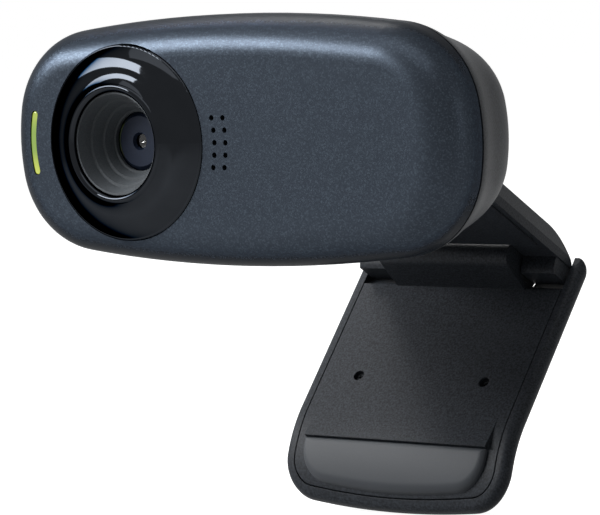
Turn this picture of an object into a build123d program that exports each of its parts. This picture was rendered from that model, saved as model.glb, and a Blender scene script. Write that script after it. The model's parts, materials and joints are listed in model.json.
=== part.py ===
from build123d import *
from math import asin, cos, degrees, hypot, radians, sin, sqrt
import os

# A webcam head on a folding display clip, in millimetres.
# The origin is the middle of the arm's underside, where it sits on a display.
# +X is to the right seen from the front, -Y is where the lens looks, +Z is up.

# Pose in which the three bodies are drawn, in degrees
arm_slope = 30.0
leg_angle = 78.0

# Hinge places, measured along the arm's underside from the origin
tilt_reach = 14.27
tilt_rise = 1.8
fold_reach = 20.1
fold_drop = 0.8

# Head covers; the rear profile gives shares of the bowl's depth and how far its outline is drawn in
head_width = 71.0
head_height = 31.9
head_depth = 22.2
head_rise = 1.466
head_top_radius = 200.0
head_side_radius = 26.0
head_corner_radius = 12.0
cover_wall = 1.5
front_wall = 1.8
rear_wall = 1.5
front_depth = 6.6
front_edge_radius = 5.0
parting_gap = 0.3
rear_profile = [
    (0.0, 0.0),
    (0.2, 0.88),
    (0.4, 1.75),
    (0.55, 2.4),
    (0.66, 3.1),
    (0.79, 4.4),
    (0.89, 6.0),
    (0.955, 7.65),
    (1.0, 9.6),
]
lip_length = 1.4
lip_thickness = 0.9
lip_gap = 0.1

# Lens stack, radii from the lens axis and distances along it
bezel_radius = 12.6
lens_side = 8.0
lens_x = -(head_width / 2 - bezel_radius - lens_side)
bezel_gap = 0.05
bezel_seat_depth = 0.8
bezel_edge_height = 0.25
bezel_edge_rounding = 0.3
bezel_shoulder_radius = 9.2
bezel_shoulder_height = 1.65
bezel_rim_radius = 7.7
bezel_height = 2.6
bezel_dome_slope = 0.12
bezel_bore_radius = 6.65
bezel_tube_radius = 8.0
bezel_tube_length = 3.2
hood_gap = 0.05
hood_mouth_drop = 0.7
hood_wall = 0.25
hood_step = 0.38
hood_stages = [(5.85, 0.0), (4.98, -1.45), (4.15, -2.7)]
barrel_radius = 3.75
barrel_gap = 0.08
barrel_front_depth = 2.9
barrel_length = 5.6
barrel_chamfer = 0.5
barrel_face = 0.45
aperture_radius = 0.9
aperture_flare = 0.25
lens_radius = 2.5
lens_gap = 0.03
front_lens_thickness = 1.1
front_lens_crown = 0.35
front_lens_setback = 0.15
rear_lens_thickness = 1.3
lens_spacing = 0.8

# Electronics inside the head
board_depth = 11.0
board_thickness = 1.0
board_side_room = 11.0
board_edge_room = 4.95
board_width = head_width - 2 * board_side_room
board_height = head_height - 2 * board_edge_room
board_corner_radius = 1.5
board_tongue_room = 3.9
board_tongue_reach = head_width / 2 - board_tongue_room
board_tongue_height = 6.8
holder_side = 12.0
holder_corner_radius = 1.0
holder_base = 2.4
holder_wall = 1.05
holder_front_depth = 4.2
filter_thickness = 0.3
filter_ledge = 0.5
filter_window_radius = 2.5
sensor_width = 6.0
sensor_height = 5.0
sensor_thickness = 0.9
sensor_room = 8.0
processor_side = 8.0
processor_thickness = 1.0
processor_place = (2.0, 0.5)
memory_width = 6.0
memory_height = 4.0
memory_thickness = 0.8
memory_place = (-8.0, -5.5)
crystal_width = 3.2
crystal_height = 2.5
crystal_corner_radius = 0.5
crystal_thickness = 0.7
crystal_side = 13.0
crystal_rise = 6.5
crystal_place = (board_width / 2 - crystal_side, crystal_rise)
capacitor_width = 1.6
capacitor_height = 0.8
capacitor_pitch = 2.4
capacitor_count = 5
capacitor_place = (-15.0, 8.5)
header_width = 8.0
header_height = 4.5
header_length = 3.6
header_wall = 0.6
header_side = 10.7
header_drop = 5.5
header_place = (board_width / 2 - header_side, -header_drop)

# Status light
slit_clearance = 3.1
slit_offset = bezel_radius + slit_clearance
slit_width = 0.95
slit_length = 7.4
slit_gap = 0.05
led_width = 1.6
led_height = 0.8
led_thickness = 0.6
led_clearance = 0.2

# Microphone
mic_hole_radius = 0.35
mic_inner_clearance = 1.95
mic_outer_clearance = 3.7
mic_hole_arcs = [bezel_radius + mic_inner_clearance, bezel_radius + mic_outer_clearance]
mic_hole_pitch = 1.57
mic_hole_rows = 5
mic_radius = 3.0
mic_length = 2.4
mic_chamber = 1.2
mic_chamber_radius = 3.8
boot_wall = 0.8
boot_gap = 0.03

# Fasteners of the head
cover_screw_side = 6.9
cover_screw_edge = 8.95
cover_screw_x = head_width / 2 - cover_screw_side
cover_screw_y = head_height / 2 - cover_screw_edge
cover_screw_places = [
    (cover_screw_x, cover_screw_y),
    (cover_screw_x, -cover_screw_y),
    (-cover_screw_x, cover_screw_y),
    (-cover_screw_x, -cover_screw_y),
]
cover_joint_depth = 9.0
cover_screw_seat = 3.0
board_screw_side = 4.0
board_screw_edge = 3.5
board_screw_x = board_width / 2 - board_screw_side
board_screw_y = board_height / 2 - board_screw_edge
board_screw_places = [(board_screw_x, board_screw_y), (board_screw_x, -board_screw_y)]
boss_radius = 2.0
post_radius = 2.9
screw_shank_radius = 0.75
screw_head_radius = 1.6
screw_head_height = 1.1
screw_gap = 0.05
screw_bite = 4.5
screw_tip_room = 0.5
head_room = 0.25
cross_slot_width = 0.45
cross_slot_length = 2.0
cross_slot_depth = 0.6

# Cord gland in the rear cover
gland_place = (18.0, 0.0)
gland_bore_radius = 1.9
gland_body_radius = 2.9
gland_flange_radius = 3.7
gland_flange = 1.0
gland_gap = 0.05

# Tilt hinge between the head and the arm
tilt_barrel_radius = 3.0
tilt_barrel_gap = 0.3
tilt_barrel_width = 13.0
tilt_washer_room = 0.3
tilt_washer_play = 0.02
tilt_washer_radius = 3.2
lug_thickness = 3.6
lug_radius = 3.4
tilt_pin_radius = 1.5
tilt_pin_head_radius = 2.5
tilt_pin_head = 0.7
running_gap = 0.05
tight_gap = 0.02

# Arm of the clip; its width follows the leg's
leg_width = 36.6
rim_width = 1.7
ear_side_gap = 0.2
arm_width = leg_width - 2 * (rim_width + ear_side_gap)
arm_thickness = 4.0
arm_band_height = 1.45
arm_side_slope = 22.4
arm_edge_radius = 0.5
arm_shoulder_reach = 10.3
arm_shoulder_width = 19.0
arm_full_reach = 3.5
arm_shoulder_rounding = 3.0
panel_border = 1.0
panel_step = 0.2
panel_thickness = 1.2
panel_gap = 0.1
panel_reach = 6.8
arm_top_wall = 1.2
arm_rib = 2.0
ear_top_reach = 15.4
ear_radius = 2.2
arm_screw_places = [(8.5, -3.5), (-8.5, -3.5)]
small_shank_radius = 0.5
small_head_radius = 1.1
small_head_height = 0.6
small_bite = 0.9
small_slot_length = 1.5
small_slot_width = 0.25
small_slot_depth = 0.3

# Fold hinge between the arm and the leg
tongue_width = 21.3
tongue_radius = 2.6
tongue_nose_reach = 4.1
tongue_nose_down = 0.9
tongue_nose_radius = 1.8
tongue_root = 2.75
tongue_gap = 0.25
fold_lug_radius = 2.3
fold_lug_reach = 16.2
fold_lug_flat = 1.35
fold_pin_radius = 0.9
fold_washer_radius = 1.9
fold_washer_thickness = 0.2
fold_washer_play = 0.05
pin_end_wall = 0.7
ear_inner = tongue_width / 2 + fold_washer_thickness + fold_washer_play
pin_play = 0.1
flange_top = -0.3
flange_gap = 0.4

# Leg of the clip, measured from the fold axis
leg_length = 36.1
leg_bow = 1.1
leg_corner_radius = 5.3
leg_thickness = 2.4
leg_front_drop = 0.96
leg_top = 2.55
leg_bend_length = 12.6
leg_bend_start = leg_length - leg_bend_length
leg_bend_radius = 18.6
leg_bend_sweep = 80.0
leg_edge_radius = 1.1
rim_bottom = 1.0
rim_top = -2.8
rim_end_radius = 2.0
groove = 0.15
leg_panel_thickness = 1.0
pad_inset = 3.4
pad_margin = 1.5
pad_length = 6.1
pad_width = leg_width - 2 * pad_inset
pad_bottom = leg_length - pad_margin
pad_top = pad_bottom - pad_length
pad_corner_radius = 4.4
pad_thickness = 0.9
pad_edge_radius = 0.45
pad_gap = 0.05
swell_length = 4.9
swell_start = pad_top - swell_length
swell_sink = 0.3
leg_screw_x = 10.4
leg_screw_rise = 5.3
leg_screw_down = leg_bend_start - leg_screw_rise
leg_hole_radius = 0.8
leg_screw_sink = 0.35
leg_screw_bite = 0.8
leg_shank_radius = 0.4

# Length of cuts that pass right through
through = 60.0

# Cosine above which an edge counts as running along a direction
along_cosine = 0.9


def turned(angle):
    """Direction in the side view, in degrees from +Y towards +Z."""
    return Vector(0, cos(radians(angle)), sin(radians(angle)))


# Directions and planes of the three bodies
arm_back = turned(-arm_slope)
arm_up = turned(90 - arm_slope)
leg_down = turned(180 - arm_slope + leg_angle)
leg_front = turned(90 - arm_slope + leg_angle)
tilt_centre = arm_up * tilt_rise - arm_back * tilt_reach
fold_centre = arm_back * fold_reach - arm_up * fold_drop
tilt_standoff = tilt_barrel_radius + tilt_barrel_gap
head_centre = tilt_centre + Vector(0, -(head_depth + tilt_standoff), head_rise)

arm_face = Plane(origin=(0, 0, 0), x_dir=(1, 0, 0), z_dir=arm_up)
arm_side = Plane(origin=(0, 0, 0), x_dir=arm_back, z_dir=(1, 0, 0))
leg_face = Plane(origin=fold_centre, x_dir=(1, 0, 0), z_dir=leg_front)
leg_side = Plane(origin=fold_centre, x_dir=leg_front, z_dir=(1, 0, 0))
head_front = Plane(origin=head_centre, x_dir=(1, 0, 0), z_dir=(0, -1, 0))
head_side = Plane(origin=tilt_centre, x_dir=(0, 1, 0), z_dir=(1, 0, 0))
lens_centre = head_centre + Vector(lens_x, 0, 0)
lens_section = Plane(origin=lens_centre, x_dir=(1, 0, 0), z_dir=(0, 0, -1))
lens_axis = Axis(lens_centre, (0, -1, 0))


def at_depth(depth):
    """Plane inside the head, facing forward, at a depth behind its front face."""
    return head_front.offset(-depth)


def facing_back(depth):
    """Plane inside the head, facing backward, at a depth behind its front face."""
    return Plane(origin=head_centre + Vector(0, depth, 0), x_dir=(1, 0, 0), z_dir=(0, 1, 0))


def head_outline(inset):
    """The head's outline, drawn in by an inset, as eight tangent arcs."""
    half_width = head_width / 2 - inset
    half_height = head_height / 2 - inset
    top_radius = head_top_radius - inset
    side_radius = head_side_radius - inset
    corner_radius = head_corner_radius - inset
    top_centre = Vector(0, half_height - top_radius)
    side_centre = Vector(half_width - side_radius, 0)
    top_reach = top_radius - corner_radius
    side_reach = side_radius - corner_radius
    span = side_centre - top_centre
    along = (top_reach**2 - side_reach**2 + span.length**2) / (2 * span.length)
    across = sqrt(top_reach**2 - along**2)
    direction = span.normalized()
    corner = top_centre + direction * along + Vector(direction.Y, -direction.X) * across
    top_joint = top_centre + (corner - top_centre).normalized() * top_radius
    side_joint = side_centre + (corner - side_centre).normalized() * side_radius
    middle = ((corner - top_centre).normalized() + (corner - side_centre).normalized()).normalized()
    corner_middle = corner + middle * corner_radius
    with BuildSketch() as outline:
        with BuildLine():
            ThreePointArc((-top_joint.X, top_joint.Y), (0, half_height), (top_joint.X, top_joint.Y))
            ThreePointArc((top_joint.X, top_joint.Y), corner_middle, side_joint)
            ThreePointArc(side_joint, (half_width, 0), (side_joint.X, -side_joint.Y))
            ThreePointArc(
                (side_joint.X, -side_joint.Y),
                (corner_middle.X, -corner_middle.Y),
                (top_joint.X, -top_joint.Y),
            )
            ThreePointArc((top_joint.X, -top_joint.Y), (0, -half_height), (-top_joint.X, -top_joint.Y))
            ThreePointArc(
                (-top_joint.X, -top_joint.Y),
                (-corner_middle.X, -corner_middle.Y),
                (-side_joint.X, -side_joint.Y),
            )
            ThreePointArc((-side_joint.X, -side_joint.Y), (-half_width, 0), (-side_joint.X, side_joint.Y))
            ThreePointArc(
                (-side_joint.X, side_joint.Y),
                (-corner_middle.X, corner_middle.Y),
                (-top_joint.X, top_joint.Y),
            )
        make_face()
    return outline.sketch


def slit_shape(grow):
    """The light slit's outline, an arc about the lens, grown by a clearance."""
    half_angle = degrees(slit_length / 2 / slit_offset)
    with BuildSketch() as shape:
        with BuildLine(mode=Mode.PRIVATE) as path:
            CenterArc((lens_x, 0), slit_offset, 180 - half_angle, 2 * half_angle)
        SlotArc(path.edge(), slit_width + 2 * grow)
    return shape.sketch


# Front cover: painted shell with bosses for the cover and board screws
with BuildPart() as front_cavity:
    with BuildSketch(at_depth(front_wall)):
        add(head_outline(cover_wall))
    extrude(amount=-(front_depth - front_wall))
    fillet(front_cavity.edges().group_by(Axis.Y)[0], front_edge_radius - cover_wall)

with BuildPart() as front_cover:
    with BuildSketch(head_front):
        add(head_outline(0))
    extrude(amount=-front_depth)
    fillet(front_cover.edges().group_by(Axis.Y)[0], front_edge_radius)
    add(front_cavity.part, mode=Mode.SUBTRACT)
    for places, end in [(cover_screw_places, cover_joint_depth), (board_screw_places, board_depth)]:
        with BuildSketch(at_depth(front_wall / 2)):
            with Locations(*places):
                Circle(boss_radius)
        extrude(amount=-(end - front_wall / 2))
        with BuildSketch(at_depth(end)):
            with Locations(*places):
                Circle(screw_shank_radius + screw_gap)
        extrude(amount=screw_bite + screw_tip_room, mode=Mode.SUBTRACT)
    with BuildSketch(head_front):
        with Locations((lens_x, 0)):
            Circle(bezel_radius + bezel_gap)
    extrude(amount=-bezel_seat_depth, mode=Mode.SUBTRACT)
    with BuildSketch(head_front):
        with Locations((lens_x, 0)):
            Circle(bezel_tube_radius + bezel_gap)
    extrude(amount=-2 * front_wall, mode=Mode.SUBTRACT)
    with BuildSketch(head_front):
        for arc in mic_hole_arcs:
            step = degrees(mic_hole_pitch / arc)
            sweep = (mic_hole_rows - 1) * step
            with Locations((lens_x, 0)):
                with PolarLocations(arc, mic_hole_rows, -sweep / 2, sweep, endpoint=True):
                    Circle(mic_hole_radius)
    extrude(amount=-2 * front_wall, mode=Mode.SUBTRACT)
    with BuildSketch(head_front):
        add(slit_shape(slit_gap))
    extrude(amount=-2 * front_wall, mode=Mode.SUBTRACT)

# Rear cover: tapered bowl with screw posts, a locating lip and the tilt hinge's lugs
rear_start = front_depth + parting_gap
screw_seat_depth = cover_joint_depth + cover_screw_seat


def rear_bowl(inset, length):
    """Solid bowl behind the parting line, drawn in by an inset and scaled to a length."""
    with BuildPart() as bowl:
        for share, step in rear_profile:
            with BuildSketch(facing_back(rear_start + share * length)):
                add(head_outline(inset + step))
        loft()
    return bowl.part


with BuildPart() as rear_cavity:
    add(rear_bowl(cover_wall, head_depth - rear_wall - rear_start))
    with BuildSketch(at_depth(cover_joint_depth)):
        with Locations(*cover_screw_places):
            Circle(post_radius)
    extrude(amount=-head_depth, mode=Mode.SUBTRACT)

lug_inner = tilt_barrel_width / 2 + tilt_washer_room
lug_outer = lug_inner + lug_thickness

with BuildPart() as rear_cover:
    add(rear_bowl(0, head_depth - rear_start))
    add(rear_cavity.part, mode=Mode.SUBTRACT)
    lip_outer = cover_wall + lip_gap
    with BuildSketch(at_depth(rear_start - lip_length)):
        add(head_outline(lip_outer))
        add(head_outline(lip_outer + lip_thickness), mode=Mode.SUBTRACT)
    extrude(amount=-lip_length)
    with BuildSketch(at_depth(rear_start)):
        add(head_outline(cover_wall / 2))
        add(head_outline(lip_outer + lip_thickness), mode=Mode.SUBTRACT)
    extrude(amount=-lip_length)
    for start in [lug_inner, -lug_outer]:
        with BuildSketch(head_side.offset(start)):
            Circle(lug_radius)
            Rectangle(tilt_standoff + rear_wall / 2, 2 * lug_radius, align=(Align.MAX, Align.CENTER))
        extrude(amount=lug_thickness)
    with BuildSketch(head_side):
        Circle(tilt_pin_radius + tight_gap)
    extrude(amount=lug_outer, both=True, mode=Mode.SUBTRACT)
    with BuildSketch(at_depth(screw_seat_depth)):
        with Locations(*cover_screw_places):
            Circle(screw_head_radius + head_room)
    extrude(amount=-head_depth, mode=Mode.SUBTRACT)
    with BuildSketch(at_depth(cover_joint_depth)):
        with Locations(*cover_screw_places):
            Circle(screw_shank_radius + screw_gap)
    extrude(amount=-cover_screw_seat, mode=Mode.SUBTRACT)
    with BuildSketch(at_depth(head_depth - 2 * rear_wall)):
        with Locations(gland_place):
            Circle(gland_body_radius + gland_gap)
    extrude(amount=-3 * rear_wall, mode=Mode.SUBTRACT)

# Lens bezel: domed ring with a raised inner rim and a tube behind
with BuildPart() as lens_bezel:
    with BuildSketch(lens_section):
        with BuildLine():
            outer_edge = (bezel_radius, bezel_edge_height - bezel_edge_rounding)
            edge_top = (bezel_radius - bezel_edge_rounding, bezel_edge_height)
            shoulder = (bezel_shoulder_radius, bezel_shoulder_height)
            rim_outer = (bezel_rim_radius, bezel_height - bezel_edge_rounding)
            rim_middle = (bezel_rim_radius + bezel_bore_radius) / 2
            mouth = (bezel_bore_radius, bezel_height - hood_mouth_drop)
            Polyline(
                mouth,
                (bezel_bore_radius, -bezel_tube_length),
                (bezel_tube_radius, -bezel_tube_length),
                (bezel_tube_radius, -bezel_seat_depth),
                (bezel_radius, -bezel_seat_depth),
                outer_edge,
            )
            TangentArc(outer_edge, edge_top, tangent=(0, 1))
            TangentArc(shoulder, edge_top, tangent=(1, -bezel_dome_slope))
            TangentArc(shoulder, rim_outer, tangent=(-1, bezel_dome_slope))
            ThreePointArc(rim_outer, (rim_middle, bezel_height), mouth)
        make_face()
    revolve(axis=lens_axis)

# Lens hood: stepped cone that narrows towards the lens
hood_front = bezel_height - hood_mouth_drop
hood_radius = bezel_bore_radius - hood_gap

with BuildPart() as lens_hood:
    with BuildSketch(lens_section):
        with BuildLine():
            steps = [(hood_radius - hood_wall, hood_front)]
            for radius, height in hood_stages:
                steps.append((radius, height))
                steps.append((radius - hood_step, height))
            bore = barrel_radius + barrel_gap
            steps[-1] = (bore, hood_stages[-1][1])
            steps.append((bore, -bezel_tube_length))
            steps.append((hood_radius, -bezel_tube_length))
            steps.append((hood_radius, hood_front))
            Polyline(*steps, close=True)
        make_face()
    revolve(axis=lens_axis)

# Lens barrel: tube with a chamfered face and a flared aperture
barrel_front = -barrel_front_depth
barrel_back = barrel_front - barrel_length
lens_seat = barrel_front - barrel_face

with BuildPart() as lens_barrel:
    with BuildSketch(lens_section):
        with BuildLine():
            Polyline(
                (aperture_radius + aperture_flare, barrel_front),
                (barrel_radius - barrel_chamfer, barrel_front),
                (barrel_radius, barrel_front - barrel_chamfer),
                (barrel_radius, barrel_back),
                (lens_radius + lens_gap, barrel_back),
                (lens_radius + lens_gap, lens_seat - front_lens_crown),
                (aperture_radius, lens_seat),
                close=True,
            )
        make_face()
    revolve(axis=lens_axis)

# Front lens: crowned towards the aperture, flat behind
front_lens_edge = lens_seat - front_lens_crown - lens_gap
front_lens_back = front_lens_edge - front_lens_thickness

with BuildPart() as front_lens:
    with BuildSketch(lens_section):
        with BuildLine():
            crown_top = (0, lens_seat - front_lens_setback)
            Polyline(
                crown_top,
                (0, front_lens_back),
                (lens_radius, front_lens_back),
                (lens_radius, front_lens_edge),
            )
            TangentArc(crown_top, (lens_radius, front_lens_edge), tangent=(1, 0))
        make_face()
    revolve(axis=lens_axis)

# Rear lens: crowned towards the sensor
rear_lens_front = front_lens_back - lens_spacing

with BuildPart() as rear_lens:
    with BuildSketch(lens_section):
        with BuildLine():
            crown_low = (0, rear_lens_front - rear_lens_thickness)
            edge_low = (lens_radius, rear_lens_front - rear_lens_thickness + front_lens_crown)
            Polyline(crown_low, (0, rear_lens_front), (lens_radius, rear_lens_front), edge_low)
            TangentArc(crown_low, edge_low, tangent=(1, 0))
        make_face()
    revolve(axis=lens_axis)

# Lens holder: square base on the board with a round socket for the barrel
holder_socket_radius = barrel_radius + barrel_gap
holder_base_depth = board_depth - holder_base
filter_depth = holder_base_depth + filter_thickness

with BuildPart() as lens_holder:
    with BuildSketch(at_depth(holder_base_depth)):
        with Locations((lens_x, 0)):
            RectangleRounded(holder_side, holder_side, holder_corner_radius)
    extrude(amount=-holder_base)
    with BuildSketch(at_depth(holder_front_depth)):
        with Locations((lens_x, 0)):
            Circle(holder_socket_radius + holder_wall)
    extrude(amount=-(holder_base_depth - holder_front_depth))
    with BuildSketch(at_depth(holder_front_depth)):
        with Locations((lens_x, 0)):
            Circle(holder_socket_radius)
    extrude(amount=-(filter_depth - holder_front_depth), mode=Mode.SUBTRACT)
    with BuildSketch(at_depth(filter_depth)):
        with Locations((lens_x, 0)):
            Circle(filter_window_radius)
    extrude(amount=-filter_ledge, mode=Mode.SUBTRACT)
    with BuildSketch(at_depth(filter_depth + filter_ledge)):
        with Locations((lens_x, 0)):
            Rectangle(sensor_room, sensor_room)
    extrude(amount=-holder_base, mode=Mode.SUBTRACT)

# Infrared filter: thin disc on the holder's ledge
with BuildPart() as infrared_filter:
    with BuildSketch(at_depth(filter_depth - filter_thickness)):
        with Locations((lens_x, 0)):
            Circle(holder_socket_radius - hood_gap)
    extrude(amount=-filter_thickness)

# Image sensor: chip on the board's front, on the lens axis
with BuildPart() as image_sensor:
    with BuildSketch(at_depth(board_depth - sensor_thickness)):
        with Locations((lens_x, 0)):
            Rectangle(sensor_width, sensor_height)
    extrude(amount=-sensor_thickness)

# Main board: with a tongue on the left for the status light
with BuildPart() as main_board:
    with BuildSketch(at_depth(board_depth)):
        RectangleRounded(board_width, board_height, board_corner_radius)
        Rectangle(board_tongue_reach, board_tongue_height, align=(Align.MAX, Align.CENTER))
        with Locations(*board_screw_places):
            Circle(screw_shank_radius + screw_gap, mode=Mode.SUBTRACT)
    extrude(amount=-board_thickness)

board_back = board_depth + board_thickness

# Chips on the board's back: processor, memory, crystal and a row of capacitors
with BuildPart() as board_chips:
    with BuildSketch(at_depth(board_back)):
        with Locations(processor_place):
            Rectangle(processor_side, processor_side)
    extrude(amount=-processor_thickness)
    with BuildSketch(at_depth(board_back)):
        with Locations(memory_place):
            Rectangle(memory_width, memory_height)
    extrude(amount=-memory_thickness)
    with BuildSketch(at_depth(board_back)):
        with Locations(crystal_place):
            RectangleRounded(crystal_width, crystal_height, crystal_corner_radius)
    extrude(amount=-crystal_thickness)
    with BuildSketch(at_depth(board_back)):
        with Locations(capacitor_place):
            with GridLocations(capacitor_pitch, capacitor_pitch, capacitor_count, 1):
                Rectangle(capacitor_width, capacitor_height)
    extrude(amount=-capacitor_height)

# Cord header: open box on the board's back
with BuildPart() as cable_header:
    with BuildSketch(at_depth(board_back)):
        with Locations(header_place):
            Rectangle(header_width, header_height)
    extrude(amount=-header_length)
    offset(amount=-header_wall, openings=cable_header.faces().sort_by(Axis.Y)[-1])

# Status light chip on the board's tongue, behind the slit
slit_centre = lens_x - slit_offset
with BuildPart() as status_led:
    with BuildSketch(at_depth(board_depth - led_thickness)):
        with Locations((slit_centre, 0)):
            Rectangle(led_height, led_width)
    extrude(amount=-led_thickness)

# Light pipe: curved bar from the slit back to the light
with BuildPart() as light_pipe:
    with BuildSketch(head_front):
        add(slit_shape(0))
    extrude(amount=-(board_depth - led_thickness - led_clearance))

# Microphone capsule and its rubber boot, centred behind the holes
mic_x = lens_x + sum(mic_hole_arcs) / len(mic_hole_arcs)
mic_depth = front_wall + mic_chamber

with BuildPart() as microphone:
    with BuildSketch(at_depth(mic_depth)):
        with Locations((mic_x, 0)):
            Circle(mic_radius)
    extrude(amount=-mic_length)

with BuildPart() as microphone_boot:
    with BuildSketch(at_depth(front_wall)):
        with Locations((mic_x, 0)):
            Circle(mic_chamber_radius + boot_wall)
    extrude(amount=-(mic_chamber + mic_length))
    with BuildSketch(at_depth(front_wall)):
        with Locations((mic_x, 0)):
            Circle(mic_chamber_radius)
    extrude(amount=-mic_chamber, mode=Mode.SUBTRACT)
    with BuildSketch(at_depth(mic_depth)):
        with Locations((mic_x, 0)):
            Circle(mic_radius + boot_gap)
    extrude(amount=-mic_length, mode=Mode.SUBTRACT)

# Cord gland: flanged rubber ring through the rear cover
with BuildPart() as cable_grommet:
    gland_parts = [
        (head_depth, gland_flange_radius, gland_flange),
        (head_depth - rear_wall, gland_body_radius, rear_wall),
        (head_depth - rear_wall - gland_flange, gland_flange_radius, gland_flange),
    ]
    for start, radius, length in gland_parts:
        with BuildSketch(at_depth(start)):
            with Locations(gland_place):
                Circle(radius)
        extrude(amount=-length)
    fillet(cable_grommet.edges().group_by(Axis.Y)[-1], gland_flange / 2)
    with BuildSketch(at_depth(head_depth - rear_wall - gland_flange)):
        with Locations(gland_place):
            Circle(gland_bore_radius)
    extrude(amount=-(rear_wall + 2 * gland_flange), mode=Mode.SUBTRACT)


def head_screws(places, seat, bite):
    """Screws driven forward into the head, with cross-slotted heads behind the seat."""
    with BuildPart() as screws:
        with BuildSketch(at_depth(seat)):
            with Locations(*places):
                Circle(screw_shank_radius)
        extrude(amount=bite)
        with BuildSketch(at_depth(seat)):
            with Locations(*places):
                Circle(screw_head_radius)
        extrude(amount=-screw_head_height)
        with BuildSketch(at_depth(seat + screw_head_height)):
            with Locations(*places):
                Rectangle(cross_slot_length, cross_slot_width)
                Rectangle(cross_slot_width, cross_slot_length)
        extrude(amount=cross_slot_depth, mode=Mode.SUBTRACT)
    return screws


cover_screws = head_screws(cover_screw_places, screw_seat_depth, cover_screw_seat + screw_bite)
board_screws = head_screws(board_screw_places, board_back, board_thickness + screw_bite)

# Tilt pin: rivet with a head at each end
with BuildPart() as tilt_pin:
    with BuildSketch(head_side):
        Circle(tilt_pin_radius)
    extrude(amount=lug_outer, both=True)
    for start in [lug_outer, -lug_outer - tilt_pin_head]:
        with BuildSketch(head_side.offset(start)):
            Circle(tilt_pin_head_radius)
        extrude(amount=tilt_pin_head)
    pin_ends = tilt_pin.edges().group_by(Axis.X)
    fillet(pin_ends[0] + pin_ends[-1], tilt_pin_head / 2)

# Friction washers between the lugs and the arm's barrel
with BuildPart() as tilt_washers:
    for start in [tilt_barrel_width / 2, -lug_inner]:
        with BuildSketch(head_side.offset(start + tilt_washer_play)):
            Circle(tilt_washer_radius)
            Circle(tilt_pin_radius + running_gap, mode=Mode.SUBTRACT)
        extrude(amount=tilt_washer_room - 2 * tilt_washer_play)


def arm_plan(inset, front, back):
    """Plan of the arm, drawn in by an inset and cut off at a front and a back line."""
    with BuildSketch() as plan:
        with BuildLine():
            Polyline(
                (-arm_shoulder_width / 2, -arm_shoulder_reach),
                (arm_shoulder_width / 2, -arm_shoulder_reach),
                (arm_width / 2, -arm_full_reach),
                (arm_width / 2, through),
                (-arm_width / 2, through),
                (-arm_width / 2, -arm_full_reach),
                close=True,
            )
        make_face()
        fillet(plan.vertices().filter_by_position(Axis.Y, -through, 0), arm_shoulder_rounding)
        if inset > 0:
            offset(amount=-inset)
        with Locations((0, (front + back) / 2)):
            Rectangle(2 * arm_width, back - front, mode=Mode.INTERSECT)
    return plan.sketch


# Arm shell: top half of the arm, with the neck of the tilt hinge and the ears of the fold hinge
fold_place = (fold_reach, -fold_drop)
tilt_place = (-tilt_reach, tilt_rise)
ear_end = fold_reach + ear_radius
pin_reach = fold_lug_reach - pin_end_wall
centre_end = fold_reach - hypot(tongue_nose_reach, tongue_nose_down) - tongue_nose_radius - tongue_gap


def is_top_edge(edge):
    """True for the long upper edges of the arm, not for seams or cross edges."""
    place = edge.center()
    level = place.dot(arm_up) > arm_thickness - arm_edge_radius
    across = abs(edge.tangent_at(0.5).dot(arm_up)) < along_cosine
    return level and across and abs(place.X) > arm_shoulder_width / 4


with BuildPart() as arm_block:
    with BuildSketch(arm_face.offset(arm_band_height)):
        add(arm_plan(0, -arm_shoulder_reach, ear_end + ear_radius))
    extrude(amount=-arm_thickness)
    with BuildSketch(arm_face.offset(arm_band_height)):
        add(arm_plan(0, -arm_shoulder_reach, ear_end + ear_radius))
    extrude(amount=arm_thickness - arm_band_height, taper=arm_side_slope)

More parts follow.
